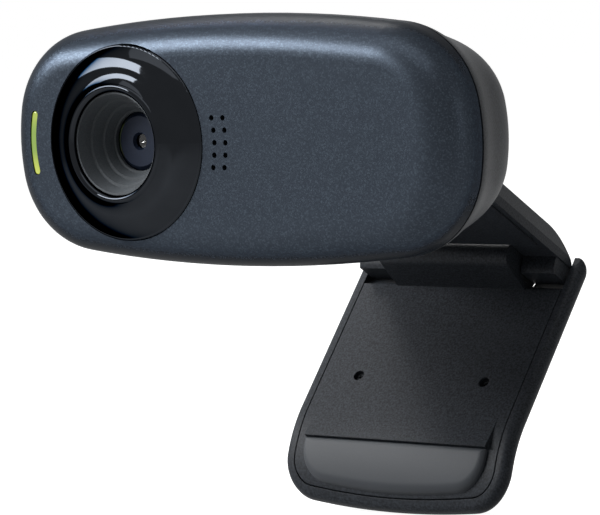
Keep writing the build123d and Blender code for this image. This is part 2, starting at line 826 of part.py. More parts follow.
with BuildPart() as arm_shell:
    with BuildSketch(arm_side):
        with BuildLine():
            top_arc = TangentArc((ear_top_reach, arm_thickness), (ear_end, -fold_drop), tangent=(1, 0))
            Polyline(
                top_arc @ 1,
                (-arm_shoulder_reach, -fold_drop),
                (-arm_shoulder_reach, arm_thickness),
                top_arc @ 0,
            )
        make_face()
        with Locations((0, panel_step)):
            Rectangle(2 * through, through, align=(Align.CENTER, Align.MAX), mode=Mode.SUBTRACT)
    extrude(amount=arm_width / 2, both=True)
    add(arm_block.part, mode=Mode.INTERSECT)
    fillet(arm_shell.edges().filter_by(is_top_edge), arm_edge_radius)
    with BuildSketch(arm_side):
        with Locations(fold_place):
            Circle(fold_lug_radius)
        with Locations((fold_reach - fold_lug_radius / 2, panel_step + panel_thickness / 2)):
            Rectangle(fold_lug_radius, panel_thickness)
        make_hull()
    extrude(amount=fold_lug_reach, both=True)
    with BuildSketch(arm_side):
        with Locations((through / 2 + centre_end, 0)):
            Rectangle(through, through)
    extrude(amount=ear_inner, both=True, mode=Mode.SUBTRACT)
    with BuildSketch(arm_side):
        with Locations(tilt_place):
            Circle(tilt_barrel_radius)
        with Locations((-arm_shoulder_reach + arm_shoulder_rounding, (arm_thickness + panel_step) / 2)):
            Rectangle(arm_shoulder_rounding, arm_thickness - panel_step)
        make_hull()
    extrude(amount=tilt_barrel_width / 2, both=True)
    with BuildSketch(arm_side):
        with Locations(tilt_place):
            Circle(tilt_pin_radius + running_gap)
    extrude(amount=tilt_barrel_width, both=True, mode=Mode.SUBTRACT)
    with BuildSketch(arm_side):
        with Locations(fold_place):
            Circle(fold_pin_radius + running_gap)
    extrude(amount=pin_reach, both=True, mode=Mode.SUBTRACT)
    with BuildSketch(arm_side):
        with Locations((fold_reach, -fold_drop - fold_lug_flat)):
            Rectangle(through, through, align=(Align.CENTER, Align.MAX))
    extrude(amount=arm_width, both=True, mode=Mode.SUBTRACT)
    with BuildSketch(arm_face):
        add(arm_plan(panel_border - panel_gap, -panel_reach - panel_gap, centre_end + panel_gap))
    extrude(amount=panel_thickness, mode=Mode.SUBTRACT)
    with BuildSketch(arm_face.offset(panel_thickness)):
        add(arm_plan(panel_border + arm_rib, -panel_reach + arm_rib, centre_end - arm_rib))
        with Locations(*arm_screw_places):
            Circle(boss_radius, mode=Mode.SUBTRACT)
    extrude(amount=arm_thickness - panel_thickness - arm_top_wall, mode=Mode.SUBTRACT)
    with BuildSketch(arm_face.offset(panel_thickness)):
        with Locations(*arm_screw_places):
            Circle(small_shank_radius + screw_gap)
    extrude(amount=small_bite + screw_gap, mode=Mode.SUBTRACT)

# Arm panel: inlaid plate that sits on a display
with BuildPart() as arm_panel:
    with BuildSketch(arm_face):
        add(arm_plan(panel_border, -panel_reach, centre_end))
    extrude(amount=panel_thickness)
    with BuildSketch(arm_face):
        with Locations(*arm_screw_places):
            Circle(small_head_radius + screw_gap)
    extrude(amount=small_head_height, mode=Mode.SUBTRACT)
    with BuildSketch(arm_face):
        with Locations(*arm_screw_places):
            Circle(small_shank_radius + screw_gap)
    extrude(amount=panel_thickness, mode=Mode.SUBTRACT)

# Arm screws: hold the panel in the shell, heads just below its face
with BuildPart() as arm_screws:
    with BuildSketch(arm_face.offset(screw_gap)):
        with Locations(*arm_screw_places):
            Circle(small_head_radius)
    extrude(amount=small_head_height - screw_gap)
    with BuildSketch(arm_face.offset(small_head_height)):
        with Locations(*arm_screw_places):
            Circle(small_shank_radius)
    extrude(amount=panel_thickness - small_head_height + small_bite)
    with BuildSketch(arm_face.offset(screw_gap)):
        with Locations(*arm_screw_places):
            Rectangle(small_slot_length, small_slot_width)
            Rectangle(small_slot_width, small_slot_length)
    extrude(amount=small_slot_depth, mode=Mode.SUBTRACT)


def leg_plan(half_width, top, bottom, corner):
    """Plan of a leg piece between two distances down the leg, bowed and rounded at the bottom."""
    side_end = leg_bow - bottom
    with BuildSketch() as plan:
        with BuildLine():
            ThreePointArc((-half_width, side_end), (0, -bottom), (half_width, side_end))
            Polyline(
                (half_width, side_end),
                (half_width, -top),
                (-half_width, -top),
                (-half_width, side_end),
            )
        make_face()
        fillet(plan.vertices().group_by(Axis.Y)[0], corner)
    return plan.sketch


def leg_band(outer, inner, top):
    """Side view of a leg layer between two levels above the front face, bent back below."""
    face = -leg_front_drop
    bend = Vector(face - leg_bend_radius, leg_bend_start)
    with BuildSketch() as band:
        with BuildLine():
            front_arc = CenterArc(bend, leg_bend_radius + outer, 0, leg_bend_sweep)
            back_arc = CenterArc(bend, leg_bend_radius + inner, 0, leg_bend_sweep)
            Line(front_arc @ 1, back_arc @ 1)
            Polyline(front_arc @ 0, (face + outer, top), (face + inner, top), back_arc @ 0)
        make_face()
    return band.sketch


def is_rim_edge(edge):
    """True for the edges round the leg's outside, front and back."""
    place = edge.center() - fold_centre
    side = abs(abs(place.X) - leg_width / 2) < groove
    low = place.dot(leg_down) > leg_length - leg_corner_radius
    return (side or low) and abs(edge.tangent_at(0.5).dot(leg_front)) < along_cosine


def is_rim_end(edge):
    """True for the rear edge across the top of the leg."""
    place = edge.center() - fold_centre
    high = place.dot(leg_down) < rim_top + groove
    return high and place.dot(leg_front) < -leg_front_drop - leg_thickness / 2 and abs(place.X) < groove


# Leg shell: rear half of the foot plate with its rounded rim and a flange behind the hinge
rim_inner = leg_width / 2 - rim_width
leg_screw_places = [(leg_screw_x, -leg_screw_down), (-leg_screw_x, -leg_screw_down)]
leg_floor = leg_face.offset(-leg_front_drop - leg_panel_thickness)
tongue_side = tongue_width / 2 + groove

with BuildPart() as leg_flange:
    with BuildSketch(leg_side.offset(tongue_side)):
        with Locations((-leg_front_drop - leg_thickness, (flange_top + leg_top) / 2)):
            Rectangle(leg_thickness, leg_top - flange_top, align=(Align.MIN, Align.CENTER))
        Circle(ear_radius + flange_gap, mode=Mode.SUBTRACT)
        with Locations((-leg_front_drop - leg_panel_thickness, 0)):
            Rectangle(through, through, align=(Align.MIN, Align.CENTER), mode=Mode.SUBTRACT)
    extrude(amount=rim_inner - tongue_side)
    mirror(about=Plane.YZ)

with BuildPart() as leg_pocket:
    with BuildSketch(leg_side):
        add(leg_band(leg_thickness, -leg_panel_thickness, leg_top))
    extrude(amount=rim_inner, both=True)
    with BuildSketch(leg_face):
        add(leg_plan(rim_inner, leg_top, leg_length - rim_bottom, leg_corner_radius - rim_width))
    extrude(amount=through, both=True, mode=Mode.INTERSECT)

with BuildPart() as leg_shell:
    with BuildSketch(leg_side):
        add(leg_band(0, -leg_thickness, rim_top))
    extrude(amount=leg_width / 2, both=True)
    with BuildSketch(leg_face):
        add(leg_plan(leg_width / 2, rim_top, leg_length, leg_corner_radius))
    extrude(amount=through, both=True, mode=Mode.INTERSECT)
    fillet(leg_shell.edges().filter_by(is_rim_end), rim_end_radius)
    fillet(leg_shell.edges().filter_by(is_rim_edge), leg_edge_radius)
    with BuildSketch(leg_face):
        with Locations((0, -leg_top)):
            Rectangle(2 * rim_inner, through, align=(Align.CENTER, Align.MIN))
    extrude(amount=through, both=True, mode=Mode.SUBTRACT)
    add(leg_pocket.part, mode=Mode.SUBTRACT)
    add(leg_flange.part)
    with BuildSketch(leg_floor):
        with Locations(*leg_screw_places):
            Circle(leg_shank_radius + screw_gap)
    extrude(amount=-leg_screw_bite - screw_gap, mode=Mode.SUBTRACT)
    with BuildSketch(leg_face):
        with Locations((0, -(leg_top + tongue_root) / 2)):
            Rectangle(2 * tongue_side, tongue_root - leg_top + 2 * groove)
    extrude(amount=-through, mode=Mode.SUBTRACT)

# Leg panel: front half of the foot plate, with the hinge tongue and a swell above the pad
bend_centre = Vector(-leg_front_drop - leg_bend_radius, leg_bend_start)
swell_angle = asin((pad_top - leg_bend_start) / (leg_bend_radius + pad_thickness))
swell_direction = Vector(cos(swell_angle), sin(swell_angle))
swell_top = bend_centre + swell_direction * (leg_bend_radius + pad_thickness)
swell_foot = bend_centre + swell_direction * (leg_bend_radius - swell_sink)

with BuildPart() as leg_panel:
    with BuildSketch(leg_side):
        add(leg_band(0, -leg_panel_thickness, leg_top))
    extrude(amount=rim_inner, both=True)
    with BuildSketch(leg_side):
        with BuildLine():
            Polyline(
                swell_top,
                (swell_foot.X, swell_top.Y),
                (-leg_front_drop - swell_sink, swell_start),
                (-leg_front_drop, swell_start),
            )
            TangentArc((-leg_front_drop, swell_start), swell_top, tangent=(0, 1))
        make_face()
    extrude(amount=pad_width / 2, both=True)
    with BuildSketch(leg_face):
        add(
            leg_plan(
                rim_inner - groove,
                leg_top,
                leg_length - rim_bottom - groove,
                leg_corner_radius - rim_width - groove,
            )
        )
    extrude(amount=through, both=True, mode=Mode.INTERSECT)
    with BuildSketch(leg_side):
        Circle(tongue_radius)
        with Locations((tongue_nose_reach, tongue_nose_down)):
            Circle(tongue_nose_radius)
        with Locations((-leg_front_drop - leg_panel_thickness / 2, (leg_top + tongue_root) / 2)):
            Rectangle(leg_panel_thickness, tongue_root - leg_top)
        make_hull()
    extrude(amount=tongue_width / 2, both=True)
    with BuildSketch(leg_side):
        Circle(fold_pin_radius + tight_gap)
    extrude(amount=tongue_width, both=True, mode=Mode.SUBTRACT)
    with BuildSketch(leg_floor):
        with Locations(*leg_screw_places):
            Circle(leg_hole_radius)
    extrude(amount=leg_panel_thickness, mode=Mode.SUBTRACT)

# Leg pad: rubber sheet on the bent foot, its top edge level with the swell
with BuildPart() as leg_pad:
    with BuildSketch(leg_side):
        add(leg_band(pad_thickness, 0, leg_top))
    extrude(amount=pad_width / 2, both=True)
    with BuildSketch(leg_face):
        add(leg_plan(pad_width / 2, pad_top + pad_gap, pad_bottom, pad_corner_radius))
    extrude(amount=through, both=True, mode=Mode.INTERSECT)
    fillet(leg_pad.faces().sort_by(SortBy.AREA)[-1].edges(), pad_edge_radius)

# Leg screws: sunk in the panel's holes, driven into the shell
with BuildPart() as leg_screws:
    with BuildSketch(leg_floor):
        with Locations(*leg_screw_places):
            Circle(leg_hole_radius - screw_gap)
    extrude(amount=leg_panel_thickness - leg_screw_sink)
    with BuildSketch(leg_floor):
        with Locations(*leg_screw_places):
            Circle(leg_shank_radius)
    extrude(amount=-leg_screw_bite)

# Fold pin: rod fixed in the tongue, its ends turning in the arm's ears
with BuildPart() as fold_pin:
    with BuildSketch(leg_side):
        Circle(fold_pin_radius)
    extrude(amount=pin_reach - pin_play, both=True)

# Friction washers between the tongue and the arm's ears
with BuildPart() as fold_washers:
    for start in [tongue_width / 2, -tongue_width / 2 - fold_washer_thickness]:
        with BuildSketch(leg_side.offset(start)):
            Circle(fold_washer_radius)
            Circle(fold_pin_radius + tight_gap, mode=Mode.SUBTRACT)
        extrude(amount=fold_washer_thickness)

# Written parts
pieces = {
    "front_cover": front_cover,
    "rear_cover": rear_cover,
    "lens_bezel": lens_bezel,
    "lens_hood": lens_hood,
    "lens_barrel": lens_barrel,
    "front_lens": front_lens,
    "rear_lens": rear_lens,
    "lens_holder": lens_holder,
    "infrared_filter": infrared_filter,
    "image_sensor": image_sensor,
    "main_board": main_board,
    "board_chips": board_chips,
    "cable_header": cable_header,
    "status_led": status_led,
    "light_pipe": light_pipe,
    "microphone": microphone,
    "microphone_boot": microphone_boot,
    "cable_grommet": cable_grommet,
    "cover_screws": cover_screws,
    "board_screws": board_screws,
    "tilt_pin": tilt_pin,
    "tilt_washers": tilt_washers,
    "arm_shell": arm_shell,
    "arm_panel": arm_panel,
    "arm_screws": arm_screws,
    "leg_shell": leg_shell,
    "leg_panel": leg_panel,
    "leg_pad": leg_pad,
    "leg_screws": leg_screws,
    "fold_pin": fold_pin,
    "fold_washers": fold_washers,
}

os.makedirs("parts", exist_ok=True)
for name, piece in pieces.items():
    piece.part.label = name
    export_step(piece.part, f"parts/{name}.step")
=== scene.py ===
"""Looks of a webcam on a folding display clip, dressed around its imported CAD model."""

import json
from math import atan2, cos, pi, radians, sin, sqrt

import bmesh
import bpy
from bpy.props import FloatProperty, FloatVectorProperty, PointerProperty
from mathutils import Matrix, Vector


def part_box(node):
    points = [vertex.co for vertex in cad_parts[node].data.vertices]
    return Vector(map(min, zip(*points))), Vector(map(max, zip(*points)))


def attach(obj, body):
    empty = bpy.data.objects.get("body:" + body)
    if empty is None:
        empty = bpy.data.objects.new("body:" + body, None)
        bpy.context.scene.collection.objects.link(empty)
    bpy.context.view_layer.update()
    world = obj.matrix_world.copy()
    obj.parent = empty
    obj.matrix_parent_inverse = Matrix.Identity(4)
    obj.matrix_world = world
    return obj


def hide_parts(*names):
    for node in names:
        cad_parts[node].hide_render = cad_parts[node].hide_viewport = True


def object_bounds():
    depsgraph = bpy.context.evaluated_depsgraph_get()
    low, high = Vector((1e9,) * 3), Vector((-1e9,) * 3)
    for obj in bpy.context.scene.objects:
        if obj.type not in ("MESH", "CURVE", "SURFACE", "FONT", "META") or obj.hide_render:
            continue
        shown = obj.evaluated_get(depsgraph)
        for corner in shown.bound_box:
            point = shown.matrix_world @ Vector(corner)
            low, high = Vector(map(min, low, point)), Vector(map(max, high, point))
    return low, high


bl_info = {
    "name": "Webcam on a display clip",
    "version": (1, 0, 0),
    "blender": (4, 5, 0),
    "location": "3D View > Sidebar > Webcam",
    "description": "Dresses the packed webcam with its finishes, small pieces and studio",
    "category": "Object",
}

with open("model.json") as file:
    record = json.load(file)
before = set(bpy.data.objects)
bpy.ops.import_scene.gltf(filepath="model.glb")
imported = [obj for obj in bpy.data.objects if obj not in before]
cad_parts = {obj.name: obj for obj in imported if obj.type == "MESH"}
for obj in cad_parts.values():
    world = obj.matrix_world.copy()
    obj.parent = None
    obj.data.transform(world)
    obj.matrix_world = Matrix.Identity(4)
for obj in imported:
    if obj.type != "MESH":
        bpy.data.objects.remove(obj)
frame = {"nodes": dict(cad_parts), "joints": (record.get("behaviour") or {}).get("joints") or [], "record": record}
cad_box = [list(corner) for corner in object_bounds()]
nodes = frame["nodes"]
joints = {joint["name"]: joint for joint in frame["joints"]}
mounts = {mount["name"]: mount for mount in frame["record"]["mounts"]}

MM = 0.001
ACROSS = Vector((1, 0, 0))
BACKWARD = Vector((0, 1, 0))

# Directions and places of the three bodies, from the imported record
fold_centre = Vector(joints["leg_fold"]["pos_m"])
leg_front = Vector(mounts["leg_face"]["axis"])
leg_down = ACROSS.cross(leg_front)
arm_under = Vector(mounts["arm_seat"]["axis"])
arm_back = ACROSS.cross(arm_under)
gland_centre = Vector(mounts["cable_inlet"]["pos_m"])
bezel_low, bezel_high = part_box("lens_bezel")
lens_centre = (bezel_low + bezel_high) / 2

# Mix node sockets that hold its two colours and its mixed colour
COLOUR_A = 6
COLOUR_B = 7
COLOUR_OUT = 2
# Random Value node sockets that hold its bounds and its value as plain numbers
RANDOM_MIN = 2
RANDOM_MAX = 3
RANDOM_OUT = 1


def srgb(hex_colour):
    """Linear colour of an sRGB hex value, with full alpha."""
    channels = [int(hex_colour[i : i + 2], 16) / 255 for i in (1, 3, 5)]
    linear = [c / 12.92 if c <= 0.04045 else ((c + 0.055) / 1.055) ** 2.4 for c in channels]
    return (*linear, 1.0)


def per_mm(size):
    """Texture scale whose features are about this many millimetres across."""
    return 1 / (size * MM)


def set_inputs(tree, node, inputs):
    """Sets a node's inputs to values, or links them from other nodes' outputs."""
    for key, value in inputs.items():
        if isinstance(value, bpy.types.NodeSocket):
            tree.links.new(value, node.inputs[key])
        else:
            node.inputs[key].default_value = value


def add_node(tree, kind, inputs=None, **settings):
    """Adds a node with its settings and its inputs."""
    node = tree.nodes.new(kind)
    for name, value in settings.items():
        setattr(node, name, value)
    set_inputs(tree, node, inputs or {})
    return node


def start_finish(name):
    """A new material with its tree, its shader and the object's coordinates in metres."""
    material = bpy.data.materials.new(name)
    material.use_nodes = True
    tree = material.node_tree
    tree.nodes.clear()
    shader = add_node(tree, "ShaderNodeBsdfPrincipled")
    add_node(tree, "ShaderNodeOutputMaterial", {"Surface": shader.outputs["BSDF"]})
    place = add_node(tree, "ShaderNodeTexCoord").outputs["Object"]
    return material, tree, shader, place


class WebcamSizes(bpy.types.PropertyGroup):
    """Sizes of the small pieces that a user may change."""

    pad_half_width: FloatProperty(
        name="Pad half width",
        description="Half the width of the foot's pad",
        default=14.9 * MM,
        unit="LENGTH",
    )
    pad_thickness: FloatProperty(
        name="Pad thickness",
        description="How far the pad stands off the foot",
        default=0.9 * MM,
        unit="LENGTH",
    )
    pad_bevel: FloatProperty(
        name="Pad bevel",
        description="Width of the pad's rounded edge",
        default=0.85 * MM,
        unit="LENGTH",
    )
    bar_width: FloatProperty(
        name="Light bar width",
        description="Width of the status light",
        default=0.93 * MM,
        unit="LENGTH",
    )
    gland_groove: FloatProperty(
        name="Gland groove",
        description="Depth of the rings in the gland",
        default=0.14 * MM,
        unit="LENGTH",
    )
    screw_rounding: FloatProperty(
        name="Screw rounding",
        description="Rounding of the screw heads' rims",
        default=0.3 * MM,
        unit="LENGTH",
    )


class WebcamColours(bpy.types.PropertyGroup):
    """Colours of the finishes that a user may change."""

    paint: FloatVectorProperty(
        name="Front lacquer",
        description="Coat of the front cover",
        subtype="COLOR",
        size=4,
        default=srgb("#292e35"),
        min=0,
        max=1,
    )
    flake: FloatVectorProperty(
        name="Lacquer flakes",
        description="Flakes in the front coat",
        subtype="COLOR",
        size=4,
        default=srgb("#363d45"),
        min=0,
        max=1,
    )
    shell: FloatVectorProperty(
        name="Moulded shells",
        description="Arm, foot and rear cover",
        subtype="COLOR",
        size=4,
        default=srgb("#141619"),
        min=0,
        max=1,
    )
    pad: FloatVectorProperty(
        name="Foot pad",
        description="Rubber of the foot's pad",
        subtype="COLOR",
        size=4,
        default=srgb("#24272b"),
        min=0,
        max=1,
    )
    light: FloatVectorProperty(
        name="Status light",
        description="Colour of the lit bar",
        subtype="COLOR",
        size=4,
        default=srgb("#86a640"),
        min=0,
        max=1,
    )
    light_tip: FloatVectorProperty(
        name="Status light tip",
        description="Colour of the bar next to its lamp",
        subtype="COLOR",
        size=4,
        default=srgb("#cfd652"),
        min=0,
        max=1,
    )


# Finishes


def slate_metallic_lacquer(colours):
    # Metallic lacquer sprayed on ABS: a dark slate coat with a soft sheen and fine bright flakes.
    # Real flakes are about 0.03 mm; they are drawn at 0.16 mm so that they show.
    material, tree, shader, place = start_finish("slate_metallic_lacquer")
    flakes = add_node(tree, "ShaderNodeTexVoronoi", {"Vector": place, "Scale": per_mm(0.16)})
    split = add_node(tree, "ShaderNodeSeparateColor", {"Color": flakes.outputs["Color"]})
    sparse = add_node(tree, "ShaderNodeMath", {0: split.outputs["Red"], 1: 3.0}, operation="POWER")
    coat = add_node(
        tree,
        "ShaderNodeMix",
        {0: sparse.outputs[0], COLOUR_A: tuple(colours.paint), COLOUR_B: tuple(colours.flake)},
        data_type="RGBA",
    )
    drift = add_node(
        tree, "ShaderNodeTexNoise", {"Vector": place, "Scale": per_mm(7), "Detail": 2.0}
    )
    sheen = add_node(
        tree, "ShaderNodeMapRange", {"Value": drift.outputs[0], "To Min": 0.32, "To Max": 0.38}
    )
    lean = add_node(
        tree,
        "ShaderNodeVectorMath",
        {0: flakes.outputs["Color"], 1: (0.5, 0.5, 0.5)},
        operation="SUBTRACT",
    )
    flake_tilt = 0.035
    small = add_node(
        tree, "ShaderNodeVectorMath", {0: lean.outputs[0], "Scale": flake_tilt}, operation="SCALE"
    )
    normal = add_node(tree, "ShaderNodeNewGeometry").outputs["Normal"]
    tilted = add_node(
        tree, "ShaderNodeVectorMath", {0: small.outputs[0], 1: normal}, operation="ADD"
    )
    unit = add_node(tree, "ShaderNodeVectorMath", {0: tilted.outputs[0]}, operation="NORMALIZE")
    set_inputs(
        tree,
        shader,
        {
            "Base Color": coat.outputs[COLOUR_OUT],
            "Metallic": 0.7,
            "Roughness": sheen.outputs[0],
            "Normal": unit.outputs[0],
            "Specular IOR Level": 0.1,
            "Specular Tint": srgb("#15181c"),
        },
    )
    return material


def gloss_black_acrylic():
    # Polished black acrylic: a deep black with sharp reflections and the faintest smudges
    material, tree, shader, place = start_finish("gloss_black_acrylic")
    smudge = add_node(
        tree, "ShaderNodeTexNoise", {"Vector": place, "Scale": per_mm(3), "Detail": 4.0}
    )
    gloss = add_node(
        tree, "ShaderNodeMapRange", {"Value": smudge.outputs[0], "To Min": 0.03, "To Max": 0.07}
    )
    depth = add_node(
        tree,
        "ShaderNodeMix",
        {0: smudge.outputs[0], COLOUR_A: srgb("#1c1e21"), COLOUR_B: srgb("#212326")},
        data_type="RGBA",
    )
    set_inputs(
        tree,
        shader,
        {
            "Base Color": depth.outputs[COLOUR_OUT],
            "Metallic": 1.0,
            "Roughness": gloss.outputs[0],
            "Specular Tint": srgb("#0f1011"),
        },
    )
    return material


def matt_black_moulding(name, low, high, grain_mm, roughness):
    # Nylon or epoxy moulded matt black: a dusty fine grain that swallows stray light
    material, tree, shader, place = start_finish(name)
    grain = add_node(
        tree, "ShaderNodeTexNoise", {"Vector": place, "Scale": per_mm(grain_mm), "Detail": 3.0}
    )
    colour = add_node(
        tree,
        "ShaderNodeMix",
        {0: grain.outputs[0], COLOUR_A: srgb(low), COLOUR_B: srgb(high)},
        data_type="RGBA",
    )
    bump = add_node(
        tree, "ShaderNodeBump", {"Height": grain.outputs[0], "Strength": 0.3, "Distance": 0.03 * MM}
    )
    set_inputs(
        tree,
        shader,
        {
            "Base Color": colour.outputs[COLOUR_OUT],
            "Roughness": roughness,
            "IOR": 1.5,
            "Specular IOR Level": 0.12,
            "Normal": bump.outputs[0],
        },
    )
    return material


def spark_grained_abs(colours):
    # ABS moulded in a spark-eroded tool: an even matt grain with soft edges, its colour painted darker in the pits
    # and lighter on the peaks, a painted shade that follows the bump.
    # The real grain is about 0.1 mm; it is drawn at 0.26 mm so that it shows.
    material, tree, shader, place = start_finish("spark_grained_abs")
    grain = add_node(
        tree, "ShaderNodeTexNoise", {"Vector": place, "Scale": per_mm(0.26), "Detail": 3.0}
    )
    patch = add_node(
        tree, "ShaderNodeTexNoise", {"Vector": place, "Scale": per_mm(12), "Detail": 2.0}
    )
    pit_shade = add_node(
        tree, "ShaderNodeMapRange", {"Value": grain.outputs[0], "From Min": 0.35, "From Max": 0.68}
    )
    # Painted shade: the grain's pits take the dark shell colour and its peaks a colour three times lighter,
    # following the bump's height
    pale = tuple(min(1.0, channel * 3.0) for channel in colours.shell[:3]) + (1.0,)
    colour = add_node(
        tree,
        "ShaderNodeMix",
        {0: pit_shade.outputs[0], COLOUR_A: tuple(colours.shell), COLOUR_B: pale},
        data_type="RGBA",
    )
    sheen = add_node(
        tree, "ShaderNodeMapRange", {"Value": patch.outputs[0], "To Min": 0.42, "To Max": 0.54}
    )
    edge = add_node(tree, "ShaderNodeBevel", {"Radius": 0.14 * MM}, samples=4)
    bump = add_node(
        tree,
        "ShaderNodeBump",
        {
            "Height": grain.outputs[0],
            "Strength": 0.35,
            "Distance": 0.04 * MM,
            "Normal": edge.outputs[0],
        },
    )
    set_inputs(
        tree,
        shader,
        {
            "Base Color": colour.outputs[COLOUR_OUT],
            "Roughness": sheen.outputs[0],
            "IOR": 1.54,
            "Specular IOR Level": 0.06,
            "Normal": bump.outputs[0],
        },
    )
    return material


def grip_rubber(name, colour, grain_mm):
    # Silicone rubber pressed in a fine matt mould: soft dusty grey with a weak sheen
    material, tree, shader, place = start_finish(name)
    grain = add_node(
        tree, "ShaderNodeTexNoise", {"Vector": place, "Scale": per_mm(grain_mm), "Detail": 2.0}
    )
    dust = add_node(
        tree, "ShaderNodeTexNoise", {"Vector": place, "Scale": per_mm(5), "Detail": 3.0}
    )
    pale = tuple(min(1.0, channel * 1.45) for channel in colour[:3]) + (1.0,)
    mixed = add_node(
        tree, "ShaderNodeMath", {0: grain.outputs[0], 1: dust.outputs[0]}, operation="MULTIPLY"
    )
    shade = add_node(
        tree,
        "ShaderNodeMix",
        {0: mixed.outputs[0], COLOUR_A: tuple(colour), COLOUR_B: pale},
        data_type="RGBA",
    )
    bump = add_node(
        tree, "ShaderNodeBump", {"Height": grain.outputs[0], "Strength": 0.2, "Distance": 0.03 * MM}
    )
    set_inputs(
        tree,
        shader,
        {
            "Base Color": shade.outputs[COLOUR_OUT],
            "Roughness": 0.58,
            "IOR": 1.41,
            "Specular IOR Level": 0.3,
            "Normal": bump.outputs[0],
        },
    )
    return material


def coated_lens_glass():
    # Crown glass with a thin antireflection coat over a dark stop: deep, with a faint violet glint
    material, tree, shader, place = start_finish("coated_lens_glass")
    haze = add_node(tree, "ShaderNodeTexNoise", {"Vector": place, "Scale": per_mm(0.8)})
    clear = add_node(
        tree, "ShaderNodeMapRange", {"Value": haze.outputs[0], "To Min": 0.0, "To Max": 0.03}
    )
    tint = add_node(
        tree,
        "ShaderNodeMix",
        {0: haze.outputs[0], COLOUR_A: srgb("#272b3c"), COLOUR_B: srgb("#353449")},
        data_type="RGBA",
    )
    set_inputs(
        tree,
        shader,
        {
            "Base Color": tint.outputs[COLOUR_OUT],
            "Roughness": clear.outputs[0],
            "IOR": 1.52,
            "Specular IOR Level": 0.1,
            "Transmission Weight": 1.0,
        },
    )
    return material


def lit_light_guide(colours, low, high):
    # Clear polycarbonate lit from behind: a green bar, yellow at its ends and most at its foot
    material, tree, shader, place = start_finish("lit_light_guide")
    axes = add_node(tree, "ShaderNodeSeparateXYZ", {0: place})
    cloud = add_node(
        tree, "ShaderNodeTexNoise", {"Vector": place, "Scale": per_mm(1.2), "Detail": 2.0}
    )
    stir = add_node(
        tree,
        "ShaderNodeMapRange",
        {"Value": cloud.outputs[0], "To Min": -0.4 * MM, "To Max": 0.4 * MM},
    )
    height = add_node(
        tree, "ShaderNodeMath", {0: axes.outputs["Z"], 1: stir.outputs[0]}, operation="ADD"
    )
    foot = add_node(
        tree,
        "ShaderNodeMapRange",
        {"Value": height.outputs[0], "From Min": low + (high - low) * 0.45, "From Max": low},
        interpolation_type="SMOOTHSTEP",
    )
    crown = add_node(
        tree,
        "ShaderNodeMapRange",
        {
            "Value": height.outputs[0],
            "From Min": high - (high - low) * 0.35,
            "From Max": high,
            "To Max": 0.55,
        },
        interpolation_type="SMOOTHSTEP",
    )
    ends = add_node(
        tree, "ShaderNodeMath", {0: foot.outputs[0], 1: crown.outputs[0]}, operation="ADD"
    )
    glow = add_node(
        tree,
        "ShaderNodeMix",
        {0: ends.outputs[0], COLOUR_A: tuple(colours.light), COLOUR_B: tuple(colours.light_tip)},
        data_type="RGBA",
    )
    set_inputs(
        tree,
        shader,
        {
            "Base Color": srgb("#2c3614"),
            "Roughness": 0.2,
            "IOR": 1.58,
            "Emission Color": glow.outputs[COLOUR_OUT],
            "Emission Strength": 0.8,
        },
    )
    return material


def worked_metal(name, low, high, grain_mm, roughness):
    # Turned steel or pressed tinplate with a thin skin: a cool grey with fine uneven tool marks
    material, tree, shader, place = start_finish(name)
    marks = add_node(
        tree, "ShaderNodeTexNoise", {"Vector": place, "Scale": per_mm(grain_mm), "Detail": 4.0}
    )
    shade = add_node(
        tree,
        "ShaderNodeMix",
        {0: marks.outputs[0], COLOUR_A: srgb(low), COLOUR_B: srgb(high)},
        data_type="RGBA",
    )
    gloss = add_node(
        tree,
        "ShaderNodeMapRange",
        {"Value": marks.outputs[0], "To Min": roughness - 0.06, "To Max": roughness + 0.08},
    )
    set_inputs(
        tree,
        shader,
        {"Base Color": shade.outputs[COLOUR_OUT], "Metallic": 1.0, "Roughness": gloss.outputs[0]},
    )
    return material


def green_board_laminate():
    # Glass-fibre board under solder mask: glossy green with a faint weave
    material, tree, shader, place = start_finish("green_board_laminate")
    weave = add_node(
        tree, "ShaderNodeTexWave", {"Vector": place, "Scale": per_mm(4), "Distortion": 1.5}
    )
    shade = add_node(
        tree,
        "ShaderNodeMix",
        {0: weave.outputs[1], COLOUR_A: srgb("#0f3a22"), COLOUR_B: srgb("#174d2e")},
        data_type="RGBA",
    )
    set_inputs(
        tree, shader, {"Base Color": shade.outputs[COLOUR_OUT], "Roughness": 0.35, "IOR": 1.55}
    )
    return material


# Shapes


def merge_and_face_out(shape):
    """Merges doubled points, drops empty faces and turns the rest outwards."""
    bmesh.ops.remove_doubles(shape, verts=shape.verts, dist=0.0005 * MM)
    bmesh.ops.dissolve_degenerate(shape, edges=shape.edges, dist=0.0002 * MM)
    bmesh.ops.recalc_face_normals(shape, faces=shape.faces)


def finish_mesh(name, mesh, material, sharp_degrees=32.0):
    """Puts a finished mesh in the scene with its faces outwards, smooth but for its sharp edges."""
    shape = bmesh.new()
    shape.from_mesh(mesh)
    merge_and_face_out(shape)
    for face in shape.faces:
        face.smooth = True
        face.material_index = 0
    for edge in shape.edges:
        edge.smooth = not edge.is_manifold or edge.calc_face_angle() < radians(sharp_degrees)
    shape.to_mesh(mesh)
    shape.free()
    mesh.materials.clear()
    mesh.materials.append(material)
    piece = bpy.data.objects.new(name, mesh)
    bpy.context.scene.collection.objects.link(piece)
    return piece


def lathe_mesh(name, profile, origin, axis, segments=96):
    """A closed mesh turned about an axis from a closed profile of (radius, distance along it)."""
    axis = axis.normalized()
    side = axis.orthogonal().normalized()
    other = axis.cross(side)
    points = []
    for step in range(segments):
        angle = 2 * pi * step / segments
        outward = side * cos(angle) + other * sin(angle)
        points += [origin + outward * radius + axis * along for radius, along in profile]
    count = len(profile)
    faces = []
    for step in range(segments):
        here, there = step * count, (step + 1) % segments * count
        for k in range(count):
            n = (k + 1) % count
            faces.append((here + k, here + n, there + n, there + k))
    mesh = bpy.data.meshes.new(name)
    mesh.from_pydata(points, [], faces)
    return mesh


